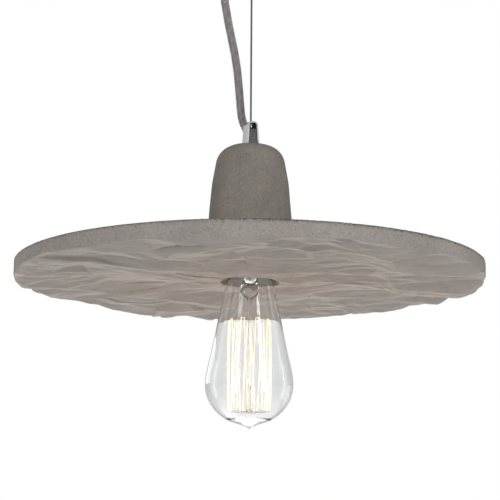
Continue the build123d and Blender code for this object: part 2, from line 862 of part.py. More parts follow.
with BuildPart() as bulb_cap:
    with BuildSketch(level(bulb_seat_z)):
        Circle(bulb_cap_radius)
    extrude(amount=bulb_cap_height)
    with BuildSketch(level(bulb_seat_z)):
        Circle(neck_radius)
    extrude(amount=bulb_cap_height - bulb_cap_wall, mode=Mode.SUBTRACT)
    with BuildSketch(level(cap_top_z - bulb_cap_wall)):
        Circle(contact_button_radius)
    extrude(amount=bulb_cap_wall, mode=Mode.SUBTRACT)
    for groove in range(cap_groove_count):
        with BuildSketch(level(bulb_seat_z + cap_groove_start + cap_groove_pitch * groove)):
            Circle(bulb_cap_radius)
            Circle(bulb_cap_radius - bulb_cap_wall / 2, mode=Mode.SUBTRACT)
        extrude(amount=cap_groove_pitch / 2, mode=Mode.SUBTRACT)
keep(bulb_cap, "bulb_cap")

with BuildPart() as cap_insulator:
    with BuildSketch(level(cap_top_z)):
        Circle(bulb_cap_radius - insulator_inset)
    extrude(amount=insulator_height, taper=insulator_taper)
keep(cap_insulator, "cap_insulator")

with BuildPart() as cap_contact:
    with BuildSketch(level(cap_top_z + insulator_height)):
        Circle(contact_button_radius)
    extrude(amount=contact_button_height)
    fillet(cap_contact.edges().group_by(Axis.Z)[-1], radius=contact_button_round)
keep(cap_contact, "cap_contact")

press_top_z = underside_z - stem_press_top
press_foot_z = underside_z - stem_press_foot
cage_top_z = underside_z - cage_top
cage_foot_z = underside_z - cage_foot

with BuildPart() as glass_stem:
    with BuildSketch(Plane.XZ):
        with BuildLine():
            Polyline(
                (0, press_top_z),
                (stem_press_width / 2 - stem_waist_step, press_top_z),
                (stem_flare_radius, neck_top_z - stem_flare_drop),
                (neck_radius - bulb_wall, neck_top_z),
                (0, neck_top_z),
                close=True,
            )
        make_face()
    revolve(axis=Axis.Z)
    with BuildSketch(level(press_foot_z)):
        RectangleRounded(stem_press_width, stem_press_thickness, stem_press_thickness / 3)
    extrude(amount=press_top_z - press_foot_z)
    with BuildSketch(level(cage_foot_z)):
        Circle(stem_rod_radius)
    extrude(amount=press_foot_z - cage_foot_z)
    with Locations((0, 0, cage_foot_z)):
        Sphere(stem_button_radius)
keep(glass_stem, "glass_stem")


def rod_between(start, end, radius):
    """A round rod from one point to another."""
    run = Vector(*end) - Vector(*start)
    with Locations(Plane(origin=start, z_dir=run)):
        Cylinder(radius, run.length, align=(Align.CENTER, Align.CENTER, Align.MIN))


def cage_point(hook, z, radius=cage_radius):
    """A point on the cage; whole hooks are at the top and half hooks at the foot."""
    angle = 2 * math.pi * hook / cage_hooks
    return (radius * math.cos(angle), radius * math.sin(angle), z)


with BuildPart() as filament:
    for hook in range(cage_hooks):
        top = cage_point(hook, cage_top_z)
        for step in (-0.5, 0.5):
            rod_between(top, cage_point(hook + step, cage_foot_z), filament_radius)
        with Locations(top, cage_point(hook + 0.5, cage_foot_z)):
            Sphere(filament_knot_radius)
keep(filament, "filament")

with BuildPart() as filament_supports:
    for hook in range(cage_hooks):
        for place, z in ((hook, cage_top_z), (hook + 0.5, cage_foot_z)):
            inner_end = cage_point(place, z, stem_rod_radius - support_entry)
            rod_between(inner_end, cage_point(place, z), support_radius)
    add(glass_stem.part, mode=Mode.SUBTRACT)
    add(filament.part, mode=Mode.SUBTRACT)
keep(filament_supports, "filament_supports")

with BuildPart() as lead_wires:
    for side, hook in ((1, 0), (-1, cage_hooks // 2)):
        foot = cage_point(hook, cage_top_z)
        rod_between((side * lead_foot_half, 0, press_foot_z + lead_foot_rise), foot, lead_radius)
    add(glass_stem.part, mode=Mode.SUBTRACT)
    add(filament.part, mode=Mode.SUBTRACT)
    add(filament_supports.part, mode=Mode.SUBTRACT)
keep(lead_wires, "lead_wires")
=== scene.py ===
import math

import bmesh
import bpy
import numpy as np
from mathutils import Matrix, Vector


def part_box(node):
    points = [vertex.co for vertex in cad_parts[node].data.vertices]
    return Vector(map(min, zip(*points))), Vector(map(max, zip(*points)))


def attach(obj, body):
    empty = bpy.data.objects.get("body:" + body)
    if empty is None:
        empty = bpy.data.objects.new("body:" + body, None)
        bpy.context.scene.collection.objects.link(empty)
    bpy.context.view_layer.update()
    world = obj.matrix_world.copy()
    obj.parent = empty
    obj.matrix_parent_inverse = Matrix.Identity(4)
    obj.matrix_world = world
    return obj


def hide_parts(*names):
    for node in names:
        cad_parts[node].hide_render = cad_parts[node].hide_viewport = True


# The looks of a concrete pendant lamp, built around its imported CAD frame. Metres, +Z up.
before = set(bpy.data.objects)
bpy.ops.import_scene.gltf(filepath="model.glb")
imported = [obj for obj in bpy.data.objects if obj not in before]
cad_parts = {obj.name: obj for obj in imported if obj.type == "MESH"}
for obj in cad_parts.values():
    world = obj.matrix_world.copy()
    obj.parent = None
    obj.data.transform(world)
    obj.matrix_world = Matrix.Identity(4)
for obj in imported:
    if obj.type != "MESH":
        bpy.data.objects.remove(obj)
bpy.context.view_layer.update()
MM = 0.001
scene = bpy.context.scene

# ------------------------------------------------------------------ places read from the frame
disc_low, disc_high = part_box("concrete_disc")
bell_low, bell_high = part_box("concrete_bell")
cup_floor_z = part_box("ceiling_cup")[0][2]
glass_low, glass_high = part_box("bulb_glass")
wire_low, wire_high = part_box("suspension_wire")

disc_radius = (disc_high[0] - disc_low[0]) / 2
underside_z = disc_low[2]
disc_top_z = disc_high[2]
crown_z = bell_high[2]


# ------------------------------------------------------------------ camera
# The camera stands a little below the disc and looks up at it.
camera_distance = 1.2
camera_drop = math.radians(10.0)
aim_height = 0.024
camera_lens = 118.6
camera_roll = math.radians(0.36)


def look(obj, target):
    """Turn an object so that its -Z axis points at the target."""
    run = Vector(target) - obj.location
    obj.rotation_euler = run.to_track_quat("-Z", "Y").to_euler()


camera = bpy.data.objects.new("camera", bpy.data.cameras.new("camera"))
scene.collection.objects.link(camera)
camera.location = (
    0,
    -camera_distance * math.cos(camera_drop),
    underside_z - camera_distance * math.sin(camera_drop),
)
look(camera, (0, 0, underside_z + aim_height))
camera.rotation_euler.rotate_axis("Z", camera_roll)
camera.data.lens = camera_lens
camera.data.sensor_width = 36
camera.data.clip_end = 20
scene.camera = camera


# ------------------------------------------------------------------ material helpers
def new_material(name):
    """A new node material and its principled shader."""
    material = bpy.data.materials.new(name)
    material.use_nodes = True
    return material, material.node_tree.nodes["Principled BSDF"]


def link(material, start, end):
    material.node_tree.links.new(start, end)


def place_of(material, scale=(1, 1, 1)):
    """Object coordinates, stretched by scale."""
    nodes = material.node_tree.nodes
    coordinates = nodes.new("ShaderNodeTexCoord")
    mapping = nodes.new("ShaderNodeMapping")
    mapping.inputs["Scale"].default_value = scale
    link(material, coordinates.outputs["Object"], mapping.inputs["Vector"])
    return mapping.outputs["Vector"]


def noise(material, place, scale, detail=4.0, roughness=0.55, distortion=0.0):
    node = material.node_tree.nodes.new("ShaderNodeTexNoise")
    node.inputs["Scale"].default_value = scale
    node.inputs["Detail"].default_value = detail
    node.inputs["Roughness"].default_value = roughness
    node.inputs["Distortion"].default_value = distortion
    link(material, place, node.inputs["Vector"])
    return node.outputs["Fac"]


def cells(material, place, scale):
    """The distance to the nearest of many scattered points."""
    node = material.node_tree.nodes.new("ShaderNodeTexVoronoi")
    node.inputs["Scale"].default_value = scale
    link(material, place, node.inputs["Vector"])
    return node.outputs["Distance"]


def attribute(material, name):
    """A number that the piece holds at each of its points."""
    node = material.node_tree.nodes.new("ShaderNodeAttribute")
    node.attribute_name = name
    return node.outputs["Fac"]


def ramp(material, value, stops):
    """A colour ramp over a value; each stop is (position, colour or grey)."""
    node = material.node_tree.nodes.new("ShaderNodeValToRGB")
    elements = node.color_ramp.elements
    while len(elements) < len(stops):
        elements.new(0.5)
    for element, (position, colour) in zip(elements, stops):
        element.position = position
        grey = isinstance(colour, (int, float))
        element.color = (colour, colour, colour, 1) if grey else (*colour, 1)
    link(material, value, node.inputs["Fac"])
    return node.outputs["Color"]


def mixed(material, first, second, amount, blend="MIX"):
    """Two colours blended; amount is a number or a socket."""
    node = material.node_tree.nodes.new("ShaderNodeMix")
    node.data_type = "RGBA"
    node.blend_type = blend
    if isinstance(amount, (int, float)):
        node.inputs[0].default_value = amount
    else:
        link(material, amount, node.inputs[0])
    link(material, first, node.inputs[6])
    link(material, second, node.inputs[7])
    return node.outputs[2]


def maths(material, operation, first, second):
    """A maths node on sockets or numbers."""
    node = material.node_tree.nodes.new("ShaderNodeMath")
    node.operation = operation
    for slot_number, value in enumerate((first, second)):
        if isinstance(value, (int, float)):
            node.inputs[slot_number].default_value = value
        else:
            link(material, value, node.inputs[slot_number])
    return node.outputs["Value"]


def bump(material, height, strength, distance, under=None):
    """A bump node over a height socket, stacked on another bump if given."""
    node = material.node_tree.nodes.new("ShaderNodeBump")
    node.inputs["Strength"].default_value = strength
    node.inputs["Distance"].default_value = distance
    link(material, height, node.inputs["Height"])
    if under is not None:
        link(material, under, node.inputs["Normal"])
    return node.outputs["Normal"]


# ------------------------------------------------------------------ materials
def concrete(name, dark, light, warm, grain_depth):
    """Cast concrete: cloudy tone, fine grain, scattered pores with painted shade inside them.

    The piece's "skin" attribute is 1 where the face was cast smooth against a sheet, and its attribute for
    chipped edges is 1 along broken edges, whose tone is painted dark as shade, with darker painted pores.
    """
    material, shader = new_material(name)
    place = place_of(material)
    skin = attribute(material, "skin")
    chipped_edge_shade = attribute(material, "chipped_edge_shade")
    clouds = noise(material, place, 34, 6, 0.62, 0.5)
    tone = ramp(material, clouds, [(0.3, dark), (0.7, light)])
    warm_node = material.node_tree.nodes.new("ShaderNodeRGB")
    warm_node.outputs[0].default_value = (*warm, 1)
    stain = ramp(material, noise(material, place, 75, 5, 0.65), [(0.42, 0.0), (0.75, 0.5)])
    tone = mixed(material, tone, warm_node.outputs[0], stain)
    rough = maths(material, "SUBTRACT", 1.0, skin)
    grain = noise(material, place, 620, 4, 0.75)
    fine = noise(material, place, 1700, 3, 0.7)
    speckle = mixed(
        material,
        ramp(material, grain, [(0.30, 0.52), (0.5, 1.0), (0.72, 1.34)]),
        ramp(material, fine, [(0.30, 0.62), (0.5, 1.0), (0.72, 1.25)]),
        0.45,
    )
    amount = maths(material, "ADD", 0.30, maths(material, "MULTIPLY", rough, 0.62))
    tone = mixed(material, tone, speckle, amount, "MULTIPLY")
    # Pores: each is a dent in the bump, and its tone is painted darker as the shade inside it.
    pore_dent_and_shade = ramp(material, cells(material, place, 300), [(0.07, 0.0), (0.16, 1.0)])
    seldom = ramp(material, noise(material, place, 120, 3), [(0.53, 1.0), (0.60, 0.0)])
    pore_dent_and_shade = maths(material, "MAXIMUM", pore_dent_and_shade, seldom)
    pore_dent_and_shade = maths(material, "MAXIMUM", pore_dent_and_shade, skin)
    tone = mixed(material, tone, ramp(material, pore_dent_and_shade, [(0.0, 0.30), (1.0, 1.0)]), 1.0, "MULTIPLY")
    # Chipped edges: their tone is painted dark as shade, with darker painted pores in them.
    pore_shade = ramp(material, grain, [(0.38, 1.0), (0.62, 0.25)])
    broken_edge_shade = maths(material, "MULTIPLY", chipped_edge_shade, pore_shade)
    tone = mixed(material, tone, ramp(material, broken_edge_shade, [(0.0, 1.0), (0.85, 0.16)]), 1.0, "MULTIPLY")
    link(material, tone, shader.inputs["Base Color"])
    link(material, ramp(material, clouds, [(0.2, 0.82), (0.8, 0.94)]), shader.inputs["Roughness"])
    shader.inputs["Specular IOR Level"].default_value = 0.2
    height = maths(material, "MULTIPLY", grain, maths(material, "ADD", 0.18, rough))
    normal = bump(material, height, grain_depth, 0.9 * MM)
    normal = bump(material, pore_dent_and_shade, 0.8, 0.5 * MM, normal)
    normal = bump(material, noise(material, place, 190, 5, 0.6), 0.35, 0.6 * MM, normal)
    link(material, normal, shader.inputs["Normal"])
    return material


def metal(name, colour, roughness, scratch_scale, scratch_depth):
    """Bare metal with fine scratches and smudges."""
    material, shader = new_material(name)
    place = place_of(material, scratch_scale)
    scratches = noise(material, place, 900, 3, 0.6)
    smudges = noise(material, place_of(material), 160, 4, 0.6)
    shader.inputs["Base Color"].default_value = (*colour, 1)
    shader.inputs["Metallic"].default_value = 1.0
    worn = ramp(material, smudges, [(0.3, roughness), (0.8, roughness + 0.14)])
    link(material, worn, shader.inputs["Roughness"])
    normal = bump(material, scratches, scratch_depth, 0.05 * MM)
    normal = bump(material, smudges, 0.12, 0.12 * MM, normal)
    link(material, normal, shader.inputs["Normal"])
    return material


def moulded(name, colour, roughness):
    """Moulded plastic or fired ceramic with a faint grain."""
    material, shader = new_material(name)
    place = place_of(material)
    grain = noise(material, place, 1500, 2, 0.5)
    cloud = noise(material, place, 140, 4, 0.6)
    darker = tuple(0.8 * value for value in colour)
    link(material, ramp(material, cloud, [(0.3, darker), (0.7, colour)]), shader.inputs["Base Color"])
    worn = ramp(material, cloud, [(0.2, roughness), (0.8, roughness + 0.12)])
    link(material, worn, shader.inputs["Roughness"])
    link(material, bump(material, grain, 0.15, 0.08 * MM), shader.inputs["Normal"])
    return material


def clear_glass(name, tint, roughness=0.0):
    """Clear blown glass with a very faint waviness."""
    material, shader = new_material(name)
    place = place_of(material, (1, 1, 0.35))
    shader.inputs["Base Color"].default_value = (*tint, 1)
    shader.inputs["Transmission Weight"].default_value = 1.0
    shader.inputs["IOR"].default_value = 1.48
    shader.inputs["Roughness"].default_value = roughness
    waves = noise(material, place, 40, 2, 0.4)
    link(material, bump(material, waves, 0.03, 0.2 * MM), shader.inputs["Normal"])
    return material


def glowing(name, colour, strength):
    """The hot filament, a little brighter in places along its length."""
    material, shader = new_material(name)
    heat = noise(material, place_of(material, (1, 1, 0.4)), 110, 3, 0.5)
    cooler = (colour[0], colour[1] * 0.8, colour[2] * 0.6)
    link(material, ramp(material, heat, [(0.35, cooler), (0.65, colour)]), shader.inputs["Emission Color"])
    shader.inputs["Emission Strength"].default_value = strength
    link(material, ramp(material, heat, [(0.3, 0.4), (0.7, 0.5)]), shader.inputs["Roughness"])
    shader.inputs["Base Color"].default_value = (*colour, 1)
    return material


def textile(name):
    """Braided cotton cover; the piece's "strand" attribute sets each yarn's tone, with painted shade where
    yarns dip under and in the gaps between them.
    """
    material, shader = new_material(name)
    yarn = ramp(
        material,
        attribute(material, "strand"),
        [
            (0.0, (0.03, 0.03, 0.03)),
            (0.35, (0.115, 0.112, 0.11)),
            (0.7, (0.17, 0.155, 0.165)),
            (1.0, (0.30, 0.29, 0.285)),
        ],
    )
    fuzz = noise(material, place_of(material), 2600, 3, 0.7)
    link(material, mixed(material, yarn, ramp(material, fuzz, [(0.2, 0.6), (0.8, 1.2)]), 0.7, "MULTIPLY"),
         shader.inputs["Base Color"])
    link(material, ramp(material, fuzz, [(0.2, 0.8), (0.8, 0.95)]), shader.inputs["Roughness"])
    shader.inputs["Sheen Weight"].default_value = 0.25
    shader.inputs["Sheen Roughness"].default_value = 0.5
    link(material, bump(material, fuzz, 0.6, 0.12 * MM), shader.inputs["Normal"])
    return material


disc_concrete = concrete(
    "disc_concrete", (0.160, 0.148, 0.137), (0.204, 0.189, 0.175), (0.192, 0.164, 0.138), 0.55
)
bell_concrete = concrete(
    "bell_concrete", (0.120, 0.111, 0.099), (0.158, 0.145, 0.129), (0.19, 0.163, 0.133), 0.5
)
polished_steel = metal("polished_steel", (0.47, 0.48, 0.49), 0.16, (1, 1, 0.1), 0.25)
# The stirrup's chrome, with its base colour painted darker as its shade and dark reflections.
shaded_chrome = metal("shaded_chrome", (0.21, 0.215, 0.22), 0.2, (1, 1, 0.1), 0.25)
plain_steel = metal("plain_steel", (0.55, 0.56, 0.57), 0.34, (1, 0.15, 1), 0.5)
satin_steel = metal("satin_steel", (0.58, 0.58, 0.57), 0.3, (0.1, 0.1, 1), 0.5)
wire_steel = metal("wire_steel", (0.20, 0.205, 0.205), 0.42, (1, 1, 0.3), 0.7)
brass = metal("brass", (0.72, 0.53, 0.24), 0.26, (1, 1, 0.2), 0.4)
support_steel = metal("support_steel", (0.33, 0.30, 0.26), 0.3, (1, 1, 1), 0.3)
black_plastic = moulded("black_plastic", (0.018, 0.018, 0.020), 0.22)
brown_plastic = moulded("brown_plastic", (0.045, 0.030, 0.022), 0.28)
white_nylon = moulded("white_nylon", (0.78, 0.77, 0.73), 0.45)
core_plastic = moulded("core_plastic", (0.20, 0.09, 0.04), 0.35)
porcelain = moulded("porcelain", (0.80, 0.78, 0.73), 0.4)
black_glass = moulded("black_glass", (0.03, 0.02, 0.035), 0.15)
bulb_glass_look = clear_glass("bulb_glass_look", (0.975, 0.98, 0.98))
stem_glass_look = clear_glass("stem_glass_look", (0.95, 0.96, 0.95), 0.02)
filament_glow = glowing("filament_glow", (1.0, 0.79, 0.52), 1.35)
textile_braid = textile("textile_braid")

node_looks = {
    "ceiling_cup": satin_steel,
    "ceiling_bar": plain_steel,
    "cup_screws": polished_steel,
    "gripper_barrel": polished_steel,
    "gripper_nut": plain_steel,
    "barrel_cap": plain_steel,
    "cord_bush": black_plastic,
    "seat_ring": white_nylon,
    "wire_ball": plain_steel,
    "wire_stop": polished_steel,
    "stirrup": shaded_chrome,
    "crown_plate": plain_steel,
    "foot_screws": plain_steel,
    "cord_grip": black_plastic,
    "terminal_block": white_nylon,
    "terminal_tubes": brass,
    "terminal_screws": plain_steel,
    "supply_cores": core_plastic,
    "threaded_nipple": plain_steel,
    "plate_nut": plain_steel,
    "strap_nut": plain_steel,
    "disc_strap": plain_steel,
    "lampholder_skirt": brown_plastic,
    "lampholder_cap": brown_plastic,
    "holder_insert": porcelain,
    "screw_shell": brass,
    "centre_contact": brass,
    "holder_terminals": brass,
    "holder_cores": core_plastic,
    "bulb_cap": brass,
    "cap_insulator": black_glass,
    "cap_contact": plain_steel,
}
for node_name, look_material in node_looks.items():
    node_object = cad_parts[node_name]
    node_object.data.materials.clear()
    node_object.data.materials.append(look_material)


# ------------------------------------------------------------------ mesh helpers
def piece(name, points, faces, material, body, *nodes):
    """A smooth mesh piece that rides on a body and stands for CAD nodes."""
    mesh = bpy.data.meshes.new(name)
    mesh.from_pydata([tuple(map(float, p)) for p in points], [], faces)
    mesh.materials.append(material)
    mesh.polygons.foreach_set("use_smooth", [True] * len(mesh.polygons))
    made = bpy.data.objects.new(name, mesh)
    scene.collection.objects.link(made)
    tidy = bmesh.new()
    tidy.from_mesh(mesh)
    bmesh.ops.recalc_face_normals(tidy, faces=tidy.faces)
    tidy.to_mesh(mesh)
    tidy.free()
    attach(made, body)
    if nodes:
        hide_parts(*nodes)
    return made


def ring_faces(rings, around, closed_profile):
    """Quads between rings of points, each ring having the same number around."""
    faces = []
    pairs = [(i, i + 1) for i in range(rings - 1)]
    if closed_profile:
        pairs.append((rings - 1, 0))
    for first, second in pairs:
        for j in range(around):
            k = (j + 1) % around
            low, high = first * around, second * around
            faces.append((low + j, low + k, high + k, high + j))
    return faces


def tube_faces(rings, around, base=0):
    """The faces of a tube with closed ends, whose points start at number base."""
    faces = [tuple(base + v for v in face) for face in ring_faces(rings, around, False)]
    faces.append(tuple(base + j for j in range(around))[::-1])
    last = base + (rings - 1) * around
    faces.append(tuple(last + j for j in range(around)))
    return faces


def point_share(made, name, values):
    """Give a piece a number at each of its points, for its material to read."""
    held = made.data.attributes.new(name, "FLOAT", "POINT")
    held.data.foreach_set("value", np.asarray(values, dtype=np.float32))


def lathe(name, profile, around, material, body, *nodes, shift=None):
    """Turn a closed profile of (radius, height) about Z; shift gives a point's extra reach."""
    points = []
    for radius, height in profile:
        for j in range(around):
            angle = 2 * math.pi * j / around
            reach = radius + (shift(angle, height) if shift else 0.0)
            points.append((reach * math.cos(angle), reach * math.sin(angle), height))
    return piece(name, points, ring_faces(len(profile), around, True), material, body, *nodes)


def spline_points(control):
    """The smooth line of a NURBS spline with these control points, read back from the curve."""
    curve = bpy.data.curves.new("route", "CURVE")
    curve.dimensions = "3D"
    spline = curve.splines.new("NURBS")
    spline.points.add(len(control) - 1)
    for point, place in zip(spline.points, control):
        point.co = (*place, 1)
    spline.order_u = 3
    spline.use_endpoint_u = True
    spline.resolution_u = 24
    holder = bpy.data.objects.new("route", curve)
    mesh = bpy.data.meshes.new_from_object(holder)
    line = np.array([v.co for v in mesh.vertices])
    bpy.data.objects.remove(holder)
    bpy.data.meshes.remove(mesh)
    return line


def evenly(line, step):
    """A line again, with points that far apart."""
    along = np.concatenate([[0], np.cumsum(np.linalg.norm(np.diff(line, axis=0), axis=1))])
    at = np.linspace(0, along[-1], max(2, math.ceil(along[-1] / step) + 1))
    return np.stack([np.interp(at, along, line[:, k]) for k in range(3)], axis=1)


def frames_along(line):
    """Two directions square to the line at each of its points, without twist."""
    tangents = np.gradient(line, axis=0)
    tangents /= np.linalg.norm(tangents, axis=1)[:, None]
    side = np.cross(tangents[0], (0.3, 1, 0.1))
    side /= np.linalg.norm(side)
    sides = []
    for tangent in tangents:
        side = side - tangent * (side @ tangent)
        side /= np.linalg.norm(side)
        sides.append(side)
    sides = np.array(sides)
    return sides, np.cross(tangents, sides)


# ------------------------------------------------------------------ supply cord and wire
stirrup_turn = math.radians(22.0)


def behind_stirrup(distance, height):
    """A point in the stirrup's middle plane, in millimetres above the disc's underside."""
    return (-math.sin(stirrup_turn) * distance, math.cos(stirrup_turn) * distance, height)


cup_floor_above = (cup_floor_z - underside_z) / MM
# The CAD cord's points: x, y and the height above the disc's underside, in millimetres.
cord_route = [
    (-22.0, 3.0, cup_floor_above + 10.0),
    (-22.0, 3.0, cup_floor_above - 11.0),
    (-17.4, 6.0, 199.0),
    (-11.0, 9.0, 170.0),
    (-8.4, 11.4, 143.0),
    (-7.2, 11.6, 127.5),
    behind_stirrup(9.4, 117.2),
    behind_stirrup(1.2, 109.4),
]
cord_points = [(x * MM, y * MM, underside_z + height * MM) for x, y, height in cord_route]
cord_radius = 3.0 * MM
braid_pairs = 8
braid_pitch = 15.0 * MM
yarn_lift = 0.22 * MM
yarn_cover = 0.94
# How much lighter a yarn is painted where it passes over, and darker where it dips under: painted light
# and shade.
crossing_shade = 0.25
cord_step = 0.4 * MM

cord_line = evenly(spline_points(cord_points), cord_step)
cord_sides, cord_ups = frames_along(cord_line)


def tube_rings(line, sides, ups, radius, around):
    """Rings of points round a line."""
    rings = []
    for centre, side, up in zip(line, sides, ups):
        for j in range(around):
            angle = 2 * math.pi * j / around
            rings.append(centre + radius * (math.cos(angle) * side + math.sin(angle) * up))
    return rings


def braided_cord():
    """A core tube with crossing yarn ribbons over it, as one mesh."""
    rng = np.random.default_rng(4)
    around = 24
    points = tube_rings(cord_line, cord_sides, cord_ups, cord_radius - yarn_lift, around)
    faces = tube_faces(len(cord_line), around)
    # The core tube is painted dark, as the shade in the gaps between the yarns.
    yarn_tones_and_shade = [0.15] * len(points)
    half_width = math.pi / (2 * braid_pairs) * yarn_cover
    for way in (1, -1):
        for yarn in range(braid_pairs):
            tone = rng.uniform(0.3, 0.95)
            start = 2 * math.pi * yarn / braid_pairs
            if way < 0:
                start += math.pi / braid_pairs / 2
            base = len(points)
            for i, (centre, side, up) in enumerate(zip(cord_line, cord_sides, cord_ups)):
                travel = 2 * math.pi * i * cord_step / braid_pitch
                angle = start + way * travel
                over = way * math.cos(braid_pairs * travel)
                lift = cord_radius + yarn_lift * 0.8 * over
                for across, drop in ((-1.0, 0.3), (-0.5, 0.05), (0.5, 0.05), (1.0, 0.3)):
                    a = angle + across * half_width
                    reach = lift - drop * yarn_lift * 2
                    points.append(centre + reach * (math.cos(a) * side + math.sin(a) * up))
                    # Each yarn's own tone, painted lighter where it passes over and darker where it dips
                    # under, with a little random tone.
                    shade = tone + crossing_shade * over + rng.uniform(-0.06, 0.06)
                    yarn_tones_and_shade.append(min(1.0, max(0.0, shade)))
            for i in range(len(cord_line) - 1):
                for j in range(3):
                    a = base + 4 * i + j
                    faces.append((a, a + 1, a + 5, a + 4))
    made = piece("textile_cord", points, faces, textile_braid, "lamp", "supply_cord")
    point_share(made, "strand", yarn_tones_and_shade)
    return made


textile_cord = braided_cord()

wire_radius = (wire_high[0] - wire_low[0]) / 2
strand_count = 6
strand_pitch = 9.0 * MM
wire_step = 0.5 * MM
wire_middle_z = (wire_low[2] + wire_high[2]) / 2
wire_points = [(0, 0, wire_low[2]), (0, 0, wire_middle_z), (0, 0, wire_high[2])]
wire_line = evenly(spline_points(wire_points), wire_step)


def stranded_wire():
    """A twisted wire rope, straight down from the ball to its stop."""
    points, faces = [], []
    around = 6
    strand_radius = wire_radius * 0.40
    for strand in range(strand_count + 1):
        offset_reach = 0.0 if strand == strand_count else wire_radius - strand_radius
        base = len(points)
        for centre in wire_line:
            twist = 2 * math.pi * (strand / strand_count + centre[2] / strand_pitch)
            middle = centre + offset_reach * np.array((math.cos(twist), math.sin(twist), 0))
            for j in range(around):
                angle = 2 * math.pi * j / around
                points.append(middle + strand_radius * np.array((math.cos(angle), math.sin(angle), 0)))
        faces += tube_faces(len(wire_line), around, base)
    return piece("steel_wire", points, faces, wire_steel, "lamp", "suspension_wire")


steel_wire = stranded_wire()


# ------------------------------------------------------------------ concrete disc
hole_radius = 21.3 * MM
edge_round = 0.8 * MM
top_edge_width = 0.8 * MM
top_edge_height = 0.6 * MM
chip_depth = 0.45 * MM
deepest_fold = 5.0 * MM
disc_steps_around = 960
underside_rings = 190
rim_rings = 14
top_rings = 40


def folded(x, y, seed, pitch, depth, stretch, lean, angle):
    """Crumpled facets: the lowest of many leaning bowls, so neighbours meet in sharp creases.

    Worked out on a grid and read at each point. Also gives the gap between the lowest and the second
    lowest bowl, which falls to nothing at a crease.
    """
    rng = np.random.default_rng(seed)
    u = (x * math.cos(angle) + y * math.sin(angle)) / stretch
    v = -x * math.sin(angle) + y * math.cos(angle)
    step = min(pitch / 12, 0.7 * MM)
    reach = 1.04 * disc_radius
    grid_u = np.arange(-reach / stretch, reach / stretch + step, step)
    grid_v = np.arange(-reach, reach + step, step)
    sites = [(su, sv) for su in np.arange(-reach / stretch, reach / stretch + pitch, pitch)
             for sv in np.arange(-reach, reach + pitch, pitch)]
    lowest = np.full((len(grid_u), len(grid_v)), 1.0)
    second = lowest.copy()
    window = 2.6 * pitch
    bowl = 0.9 * depth / pitch**2
    for su, sv in sites:
        su += rng.uniform(-0.5, 0.5) * pitch
        sv += rng.uniform(-0.5, 0.5) * pitch
        rise = rng.uniform(0, depth)
        slope_u, slope_v = rng.normal(0, lean, 2)
        i0, i1 = np.searchsorted(grid_u, (su - window, su + window))
        j0, j1 = np.searchsorted(grid_v, (sv - window, sv + window))
        du = grid_u[i0:i1, None] - su
        dv = grid_v[None, j0:j1] - sv
        height = rise + slope_u * du + slope_v * dv + bowl * (du * du + dv * dv)
        part = (slice(i0, i1), slice(j0, j1))
        second[part] = np.minimum(second[part], np.maximum(lowest[part], height))
        lowest[part] = np.minimum(lowest[part], height)
    level = lowest.mean()

    def read(values):
        across = np.clip((u - grid_u[0]) / step, 0, len(grid_u) - 1.001)
        along = np.clip((v - grid_v[0]) / step, 0, len(grid_v) - 1.001)
        i, j = across.astype(int), along.astype(int)
        a, b = across - i, along - j
        return ((values[i, j] * (1 - a) + values[i + 1, j] * a) * (1 - b)
                + (values[i, j + 1] * (1 - a) + values[i + 1, j + 1] * a) * b)

    return read(lowest) - level, read(second - lowest)


def crumple(x, y):
    """How far each point of the underside lies below the flat, or above it if negative, in metres."""
    coarse, fine = np.zeros_like(x), np.zeros_like(x)
    # seed, pitch, depth, stretch, lean, angle, and 1 where creases stand out or -1 where they sink in
    layers = (
        (11, 46 * MM, 4.0 * MM, 1.6, 0.080, 0.45, 1),
        (12, 33 * MM, 3.0 * MM, 1.8, 0.080, -0.35, -1),
        (23, 21 * MM, 2.2 * MM, 2.1, 0.110, 0.18, 1),
        (24, 15 * MM, 1.6 * MM, 2.3, 0.110, -0.22, -1),
        (15, 8 * MM, 0.80 * MM, 2.8, 0.110, 0.08, 1),
        (16, 5 * MM, 0.45 * MM, 2.6, 0.110, -0.12, -1),
    )
    for seed, pitch, depth, stretch, lean, angle, way in layers:
        height, gap = folded(x, y, seed, pitch, depth, stretch, lean, angle)
        crease = np.exp(-((gap / (0.07 * depth)) ** 2))
        total = way * height + 0.08 * depth * crease
        if pitch > 30 * MM:
            coarse += total
        else:
            fine += total
    reach = np.hypot(x, y) / disc_radius
    near_rim = np.clip((1.0 - reach) / 0.12, 0, 1)
    back_right = np.clip(0.30 + 0.55 * y / disc_radius + 0.45 * x / disc_radius, 0, 1)
    left = np.clip(-x / disc_radius - 0.75, 0, 1) * 1.4
    coarse_edge = 0.16 + 0.16 * back_right + left
    fine_edge = 0.25 + 0.55 * back_right
    near_hole = np.clip((np.hypot(x, y) - hole_radius) / (16 * MM), 0, 1)
    total = (coarse * (coarse_edge + (1 - coarse_edge) * near_rim)
             + fine * (fine_edge + (1 - fine_edge) * np.clip(near_rim * 2.5, 0, 1)))
    return np.clip(total * (0.2 + 0.8 * near_hole), -deepest_fold, deepest_fold)


def wander(angle, seed, waves, size):
    """A smooth random wave round the rim."""
    rng = np.random.default_rng(seed)
    total = np.zeros_like(angle)
    for wave in range(1, waves):
        share = rng.normal(0, 1)
        total += share * np.cos(wave * angle + rng.uniform(0, 2 * math.pi)) / math.sqrt(waves)
    return size * total


